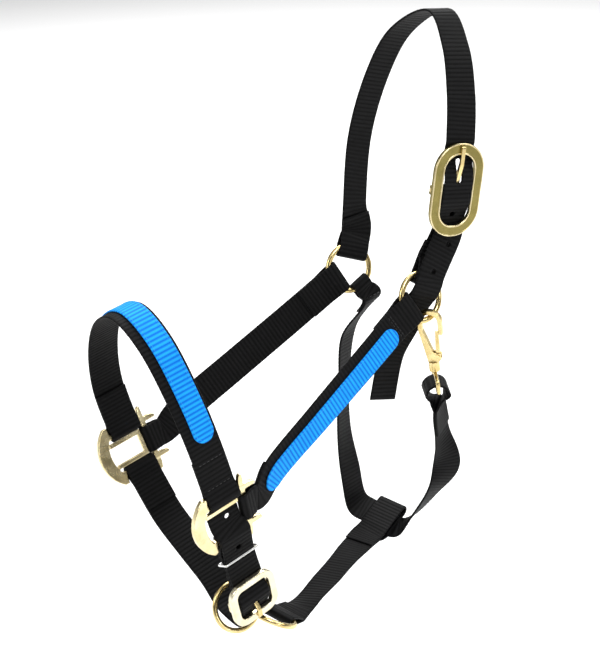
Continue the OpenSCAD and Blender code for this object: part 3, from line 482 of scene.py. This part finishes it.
# ---- Chin strap and billet ----
# The chin strap is folded round the far square, passes under the chin and through the chin buckle,
# and its punched tail turns up through the near square. The billet holds the buckle below it.
chin_route = [
    [258.1, -57.0, -314.4, 0.987, 0.000, -0.162], [256.5, -50.0, -324.2, 0.987, 0.000, -0.162],
    [252.6, -31.0, -348.4, 0.987, 0.000, -0.162], [249.9, -3.7, -364.9, 0.987, 0.000, -0.162],
    [247.7, 20.5, -378.1, 0.987, 0.000, -0.162], [248.0, 38.4, -388.7, 0.987, 0.000, -0.162],
    [248.1, 50.8, -391.2, 0.987, 0.000, -0.162], [246.3, 63.5, -392.9, 0.987, 0.000, -0.162],
    [246.4, 68.2, -385.9, 0.987, 0.000, -0.162], [247.2, 68.3, -381.4, 0.987, 0.000, -0.162],
    [248.5, 73.5, -373.0, 0.987, 0.000, -0.162], [249.8, 73.5, -365.6, 0.987, 0.000, -0.162],
    [251.2, 68.3, -356.7, 0.987, 0.000, -0.162], [252.0, 68.8, -351.8, 0.987, 0.000, -0.162],
    [255.0, 66.2, -333.6, 0.987, 0.000, -0.162], [257.7, 67.6, -317.2, 0.987, 0.000, -0.162],
    [258.6, 66.9, -311.8, 0.987, 0.000, -0.162], [261.8, 62.8, -305.7, 0.987, 0.000, -0.162],
    [263.6, 60.4, -295.8, 0.987, 0.000, -0.162],
]
chin, chin_curve, _ = strap("chin_webbing", chin_route, fold(3.80, 0, 0, 34, 1), None)
chin_at = np.array([249.19, 72.00, -369.08])
chin_y, chin_z = np.array([[0.0000, 1.0000, 0.0000], [0.1616, 0.0000, 0.9869]])
punch(chin, [(chin_at - chin_z * 8, chin_y, chin_z, 2.5, 7.4),
             (chin_at - chin_y * 5 + chin_z * 45, chin_y, chin_z, hole_radius, 0),
             (chin_at - chin_y * 11 + chin_z * 70, chin_y, chin_z, hole_radius, 0)])
belongs(chin, "webbing", "chin_strap")
belongs(stitches("chin_stitching", chin_curve,
                 cross_rows(11.5, 31, 10, seam_height), black_thread), "webbing")
chin_billet_route = [
    [258.0, 62.0, -315.2, 0.987, 0.000, -0.162], [256.1, 62.0, -327.0, 0.987, 0.000, -0.162],
    [255.0, 64.0, -333.6, 0.987, 0.000, -0.162], [252.1, 66.3, -351.3, 0.987, 0.000, -0.162],
    [250.5, 67.2, -361.2, 0.987, 0.000, -0.162], [249.2, 68.4, -369.1, 0.987, 0.000, -0.162],
]
lower, lower_curve, lower_length = strap(
    "chin_billet_webbing", chin_billet_route, fold(3.80, 0, 0, 22, -1), fold(3.20, 0, 0, 26, -1))
punch(lower, [(chin_at - chin_y * 3.6 - chin_z * 2, chin_y, chin_z, 3, 8)])
belongs(lower, "webbing", "chin_billet")
belongs(stitches("chin_billet_stitching", lower_curve,
                 [(12, a, lower_length - 13, a, -seam_height) for a in (-9.5, 9.5)], black_thread), "webbing")

# ---- Throat strap and connector ----
# The throat strap hangs from the far ring, runs through the connector's sewn loop and ends in a
# loop round the snap's eye. The connector joins that loop to the link ring under the chin.
throat_route = [
    [56.0, -41.5, -203.0, -0.563, 0.046, 0.301], [51.4, -37.4, -212.2, -0.563, 0.046, 0.301],
    [46.9, -33.4, -221.3, -0.563, 0.046, 0.301], [42.3, -29.3, -230.5, -0.651, 0.053, 0.348],
    [52.0, -47.3, -263.0, -0.920, -0.300, 0.100], [59.0, -46.5, -303.0, -0.880, -0.470, 0.000],
    [66.0, -39.8, -348.0, -0.900, -0.420, 0.000], [70.0, -27.4, -385.0, -0.950, -0.250, 0.200],
    [69.8, -20.0, -411.4, -0.936, -0.225, 0.270], [64.9, -9.4, -418.5, -0.936, -0.225, 0.270],
    [61.0, 5.0, -420.0, -0.936, -0.225, 0.270], [56.3, 22.3, -421.8, -0.936, -0.225, 0.270],
    [31.0, 33.2, -395.0, -0.800, -0.300, -0.500], [22.0, 40.7, -368.0, -0.750, 0.300, -0.500],
    [32.0, 44.8, -333.0, -0.780, -0.200, -0.300], [41.5, 48.2, -300.9, -0.879, -0.465, -0.103],
    [42.5, 47.2, -289.9, -0.520, -0.680, 0.080], [42.5, 47.2, -280.9, -0.508, -0.664, 0.078],
]
throat, throat_curve, throat_length = strap(
    "throat_webbing", throat_route, fold(3.50, 16.08, 18.30, 48, 1), fold(9.5, 6.1, 6.1, 44, 1))
belongs(throat, "webbing", "throat_strap")
belongs(stitches("throat_stitching", throat_curve,
                 cross_rows(31, 45, 7.5, seam_height)
                 + cross_rows(throat_length - 40, throat_length - 26, 9.5, seam_height),
                 black_thread), "webbing")
conn_route = [
    [225.6, 61.2, -405.0, -0.303, 0.943, -0.137], [217.1, 57.6, -410.9, -0.303, 0.943, -0.137],
    [208.6, 54.0, -416.8, -0.303, 0.943, -0.137], [200.8, 50.7, -422.2, -0.303, 0.943, -0.137],
    [181.2, 44.3, -424.9, 0.298, 0.924, 0.239], [150.5, 34.3, -423.4, 0.280, 0.948, 0.150],
    [116.9, 23.3, -420.9, 0.251, 0.963, 0.100], [89.1, 11.8, -424.1, -0.260, 0.960, -0.100],
    [75.0, 8.4, -424.1, -0.260, 0.960, -0.100], [61.0, 5.0, -420.0, -0.260, 0.960, -0.100],
]
conn, conn_curve, conn_length = strap(
    "connector_webbing", conn_route, fold(3.00, 10.69, 17.30, 42, 1), fold(4.1, -13.4, 13.4, 42, 1))
belongs(conn, "webbing", "throat_connector")
belongs(stitches("connector_stitching", conn_curve,
                 cross_rows(30, 39, 9.5, seam_height)
                 + cross_rows(conn_length - 39, conn_length - 26, 9.5, seam_height),
                 black_thread), "webbing")

# ---- Squares, rings and buckles ----
# Cast and polished brass-plated metal. Every cast piece keeps the CAD node's shape, with its edges
# rounded as a casting's are; the rings are bent wire with a weld on one side.


def metal(name, deep, top, rough, speckle=0.0, worn=0.25):
    """Polished plating: cloudy noise moves the colour and roughness a little, and fine noise makes
    shallow casting marks. speckle mixes dark spots into it."""
    mat, tree, shader, add, mth = new_material(name)
    place = add("ShaderNodeTexCoord")
    cloud = add("ShaderNodeTexNoise")
    cloud.inputs["Scale"].default_value = 90
    cloud.inputs["Detail"].default_value = 5
    grain = add("ShaderNodeTexNoise")
    grain.inputs["Scale"].default_value = 1500 if speckle else 420
    grain.inputs["Detail"].default_value = 3
    for node in (cloud, grain):
        tree.links.new(place.outputs["Object"], node.inputs["Vector"])
    mix = add("ShaderNodeMix", data_type="RGBA")
    mix.inputs[6].default_value = (*deep, 1)
    mix.inputs[7].default_value = (*top, 1)
    factor = mth("ADD", mth("MULTIPLY", cloud.outputs[0], 1.4 - speckle),
                 mth("MULTIPLY", grain.outputs[0], speckle))
    factor.node.use_clamp = True
    tree.links.new(factor, mix.inputs[0])
    tree.links.new(mix.outputs[2], shader.inputs["Base Color"])
    tree.links.new(mth("ADD", mth("MULTIPLY", cloud.outputs[0], worn), rough), shader.inputs["Roughness"])
    bump = add("ShaderNodeBump")
    bump.inputs["Strength"].default_value = 0.2 + 0.5 * speckle
    bump.inputs["Distance"].default_value = 0.00015
    tree.links.new(grain.outputs[0], bump.inputs["Height"])
    tree.links.new(bump.outputs[0], shader.inputs["Normal"])
    shader.inputs["Metallic"].default_value = 1.0
    return mat


def soften(name, mesh, material, voxel, rounds):
    """A mesh made again with soft edges: it is rebuilt on a fine even grid, and the grid smoothed."""
    obj = bpy.data.objects.new(name, mesh)
    bpy.context.scene.collection.objects.link(obj)
    weld = obj.modifiers.new("weld", "WELD")
    weld.merge_threshold = 1e-6
    grid = obj.modifiers.new("grid", "REMESH")
    grid.mode, grid.voxel_size = "VOXEL", voxel / mm_per_m
    soft = obj.modifiers.new("soft", "SMOOTH")
    soft.factor, soft.iterations = 0.5, rounds
    obj.data = baked(obj)
    obj.data.shade_smooth()
    obj.data.materials.clear()
    obj.data.materials.append(material)
    return obj


def cast(name, node, body, slot, material, voxel=0.36, rounds=5):
    """A casting: a copy of the CAD node's mesh with soft edges."""
    obj = soften(name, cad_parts[node].data.copy(), material, voxel, rounds)
    return belongs(obj, slot, node, body=body)


square_pitch = math.radians(9.3)
far_square_lean = 19
square_out = 62


def lip(name, centre, lean, bars):
    """Flat inner bars of a square, seen between the straps' folds. Each bar is a box in the square's
    own plane, given as its ends along and up, and they are joined by the even grid."""
    turn = Matrix.Rotation(square_pitch, 3, "Y") @ Matrix.Rotation(math.radians(lean), 3, "X")
    unit_box = np.array([(x, y, z) for x in (0, 1) for y in (0, 1) for z in (0, 1)], float)
    faces = [(0, 1, 3, 2), (4, 6, 7, 5), (0, 4, 5, 1), (2, 3, 7, 6), (0, 2, 6, 4), (1, 5, 7, 3)]
    points, quads = [], []
    for x0, x1, z0, z1 in bars:
        box = np.array([x0, -1.6, z0]) + unit_box * np.array([x1 - x0, 3.2, z1 - z0])
        quads += [[k + 8 * len(points) for k in face] for face in faces]
        points.append(box @ np.array(turn).T + np.array(centre))
    mesh = bpy.data.meshes.new(name)
    mesh.from_pydata(np.vstack(points) / mm_per_m, [], quads)
    return belongs(soften(name, mesh, cream, 0.3, 6), "brass")


def wire_ring(name, node, body, centre, axis, inside, wire, weld_at):
    """A ring of round wire: a torus whose wire swells a little at the weld."""
    axis = unit(np.array(axis, float))
    first = unit(np.cross(axis, [0.3, 0.2, 0.93]))
    second = np.cross(axis, first)
    turn = np.linspace(0, 2 * math.pi, 160, endpoint=False)[:, None]
    q = np.linspace(0, 2 * math.pi, 28, endpoint=False)[None]
    gap = (turn - weld_at + math.pi) % (2 * math.pi) - math.pi
    fat = wire / 2 * (1 + 0.05 * np.exp(-((gap / 0.05) ** 2)) - 0.03 * np.exp(-((gap / 0.16) ** 2)))
    out = (inside + wire) / 2 + fat * np.cos(q)
    rings = (np.array(centre) + (out * np.cos(turn))[..., None] * first
             + (out * np.sin(turn))[..., None] * second + (fat * np.sin(q))[..., None] * axis)
    obj = skin(name, rings[None], brass, closed=True)
    return belongs(obj, "brass", node, body=body)


brass = metal("polished_brass", (0.36, 0.24, 0.05), (0.84, 0.68, 0.34), 0.12)
cream = metal("pale_brass", (0.42, 0.31, 0.10), (0.88, 0.77, 0.48), 0.13)
antique = metal("antique_brass", (0.05, 0.04, 0.008), (0.36, 0.30, 0.10), 0.26, 0.75)
pale = metal("cream_brass", (0.44, 0.37, 0.18), (0.90, 0.84, 0.64), 0.12)
nickel = metal("nickel_wire", (0.55, 0.55, 0.54), (0.86, 0.86, 0.85), 0.12)
for side in ("near", "far"):
    cast(side + "_square_casting", side + "_square", "halter", "brass", cream, 0.4, 8)
top_bar = (-10.4, 16.8, 7.2, 10.4)
lip("far_square_inner_bars", (260.5, -square_out, -300), far_square_lean,
    [top_bar, (-10.4, 16.8, -10.4, -7.2), (-10.4, -7.2, -10.4, 10.4)])
lip("near_square_inner_bar", (260.5, square_out, -300), 0, [top_bar])
wire_ring("near_cheek_ring_wire", "near_cheek_ring", "near_ring",
          [56.00, 41.50, -203.00], [0.0515, 0.9496, 0.3093], 32, 4.6, 1)
wire_ring("far_cheek_ring_wire", "far_cheek_ring", "far_ring",
          [56.00, -41.50, -203.00], [0.2326, 0.9269, 0.2944], 32, 4.6, 2)
wire_ring("lead_ring_wire", "lead_ring", "chin_ring",
          [249.66, 50.22, -389.73], [0.0910, 0.8696, 0.4853], 30.7, 4.1, 0.5)
wire_ring("link_ring_wire", "link_ring", "linking_ring",
          [225.63, 61.23, -404.95], [-0.5531, -0.0576, 0.8312], 30.7, 4.1, 2.6)
cast("crown_buckle_casting", "crown_buckle", "halter", "antique_brass", antique, 0.34, 5)


def rim(name, wide, tall, corner, off, fat):
    """A painted highlight on the crown buckle's edge: a thin tube of pale polished brass along a
    rectangle with round corners.
    """
    q = np.linspace(0, math.pi / 2, 24)
    parts = []
    for k, (sx, sz) in enumerate(((1, 1), (-1, 1), (-1, -1), (1, -1))):
        a = q + k * math.pi / 2
        parts.append(np.stack([sx * (wide / 2 - corner) + corner * np.cos(a),
                               sz * (tall / 2 - corner) + corner * np.sin(a)], 1))
    flat, _ = even(np.vstack([*parts, parts[0][:1]]), 0.6, 0.6)
    flat = flat[:-1]
    t = unit(np.roll(flat, -1, 0) - np.roll(flat, 1, 0))
    side = np.stack([t[:, 1], -t[:, 0]], 1)
    a = np.linspace(0, 2 * math.pi, 14, endpoint=False)
    shift = fat * np.cos(a)[None, :, None] * side[:, None]
    place = flat[:, None] + shift
    rings = (buckle_at + place[..., :1] * buckle_x + place[..., 1:] * buckle_z
             + (off + fat * np.sin(a))[None, :, None] * buckle_y)
    return belongs(skin(name, rings[None], cream, closed=True), "brass")


# Pale strips on the inner and outer bevels, where the highlights fall: painted highlight.
rim("crown_buckle_inner_edge", 27.9, 56.3, 13.1, 1.45, 0.75)
rim("crown_buckle_outer_edge", 42.1, 70.5, 20.2, 1.25, 0.65)
cast("crown_buckle_pin", "crown_buckle_bar", "halter", "brass", brass, 0.3)
cast("crown_tongue_casting", "crown_buckle_tongue", "crown_tongue", "brass", brass, 0.2, 8)
cast("chin_buckle_casting", "chin_buckle", "halter", "brass", pale, 0.34, 14)
cast("chin_buckle_pin", "chin_buckle_bar", "halter", "brass", brass, 0.3)
cast("chin_tongue_casting", "chin_buckle_tongue", "chin_tongue", "brass", brass, 0.2, 8)

# ---- Keeper ----
# A bent loop of nickel-plated wire round the chin billet and the strap's tail.
cast("keeper_wire", "chin_keeper", "keeper", "nickel_wire", nickel, 0.22, 5)

# ---- Snap ----
# Cast brass swivel snap on the near ring: hook, sprung gate on a rivet, and a wide eye on a
# swivel post for the throat strap.
cast("snap_hook_casting", "snap_hook", "snap", "brass", brass, 0.24, 7)
cast("snap_gate_casting", "snap_gate", "gate", "brass", brass, 0.2, 4)
cast("snap_rivet", "snap_gate_rivet", "snap", "brass", brass, 0.14, 2)
cast("snap_spring", "snap_gate_spring", "snap", "nickel_wire", nickel, 0.1, 1)
cast("snap_eye_casting", "snap_eye", "halter", "brass", brass, 0.26, 5)

# ---- Floor, lights and camera ----
# A plain pale floor under the hanging halter, large soft lights, and the main view from the near
# side and above.
floor_reach, floor_down = 30, -0.62
floor_mesh = bpy.data.meshes.new("floor")
floor_corners = [(x * floor_reach, y * floor_reach, floor_down)
                 for x, y in ((-1, -1), (1, -1), (1, 1), (-1, 1))]
floor_mesh.from_pydata(floor_corners, [], [(0, 1, 2, 3)])
floor = bpy.data.objects.new("floor", floor_mesh)
bpy.context.scene.collection.objects.link(floor)
floor_finish, _, floor_shader, _, _ = new_material("pale_floor")
floor_shader.inputs["Base Color"].default_value = (0.93, 0.93, 0.93, 1)
floor_shader.inputs["Roughness"].default_value = 0.9
floor_mesh.materials.append(floor_finish)

world = bpy.data.worlds.new("studio")
bpy.context.scene.world = world
world.use_nodes = True
sky = world.node_tree
coords = sky.nodes.new("ShaderNodeTexCoord")
apart = sky.nodes.new("ShaderNodeSeparateXYZ")
bands = sky.nodes.new("ShaderNodeValToRGB")
bands.color_ramp.elements[0].position = 0.0
bands.color_ramp.elements[0].color = (0.6, 0.6, 0.6, 1)
bands.color_ramp.elements[1].position = 1.0
bands.color_ramp.elements[1].color = (1, 1, 1, 1)
# Pale and dark bands from below to above, which the polished metal mirrors.
sky_bands = ((0.44, 0.6), (0.50, 0.9), (0.56, 0.8), (0.62, 0.06),
             (0.70, 0.12), (0.74, 0.05), (0.82, 0.2), (0.88, 1.0))
for at, shade in sky_bands:
    stop = bands.color_ramp.elements.new(at)
    stop.color = (shade, shade, shade, 1)
lift = sky.nodes.new("ShaderNodeMath")
lift.operation = "MULTIPLY_ADD"
lift.inputs[1].default_value = 0.5
lift.inputs[2].default_value = 0.5
sky.links.new(coords.outputs["Generated"], apart.inputs[0])
sky.links.new(apart.outputs[2], lift.inputs[0])
sky.links.new(lift.outputs[0], bands.inputs[0])
sky.links.new(bands.outputs[0], sky.nodes["Background"].inputs[0])
sky.nodes["Background"].inputs[1].default_value = 0.8


def area(name, place, size, power):
    """A square soft light aimed at the halter's middle."""
    light = bpy.data.lights.new(name, "AREA")
    light.size, light.energy = size, power
    obj = bpy.data.objects.new(name, light)
    bpy.context.scene.collection.objects.link(obj)
    obj.location = place
    obj.rotation_euler = (Vector((0.13, 0, -0.22)) - Vector(place)).to_track_quat("-Z", "Y").to_euler()
    return obj


area("key", (0.5, 1.0, 1.6), 0.7, 17)
area("fill", (1.4, -0.4, 0.5), 0.7, 8)
area("rim", (-1.1, 0.6, 0.9), 0.9, 16)
area("front", (0.2, 1.7, 0.1), 0.5, 5)
area("floor_wash", (-1.6, -2.0, 2.6), 2.5, 160)

camera_data = bpy.data.cameras.new("camera")
camera_data.lens, camera_data.sensor_width = 63.1, 36
camera = bpy.data.objects.new("camera", camera_data)
bpy.context.scene.collection.objects.link(camera)
azimuth, elevation, roll = math.radians(51.7), math.radians(24.6), math.radians(-2)
back = Vector((math.cos(elevation) * math.cos(azimuth), math.cos(elevation) * math.sin(azimuth),
               math.sin(elevation)))
level = Vector((-math.sin(azimuth), math.cos(azimuth), 0))
rise = back.cross(level)
right = level * math.cos(roll) + rise * math.sin(roll)
above = rise * math.cos(roll) - level * math.sin(roll)
distance, slide, drop = 0.846, 0.1058, 0.2492
place = back * distance - right * slide - above * drop - Vector((0.004, 0, -0.015))
turn = Matrix((right, above, back)).transposed().to_4x4()
camera.matrix_world = Matrix.Translation(place) @ turn
bpy.context.scene.camera = camera
bpy.context.scene.view_settings.view_transform = "Standard"
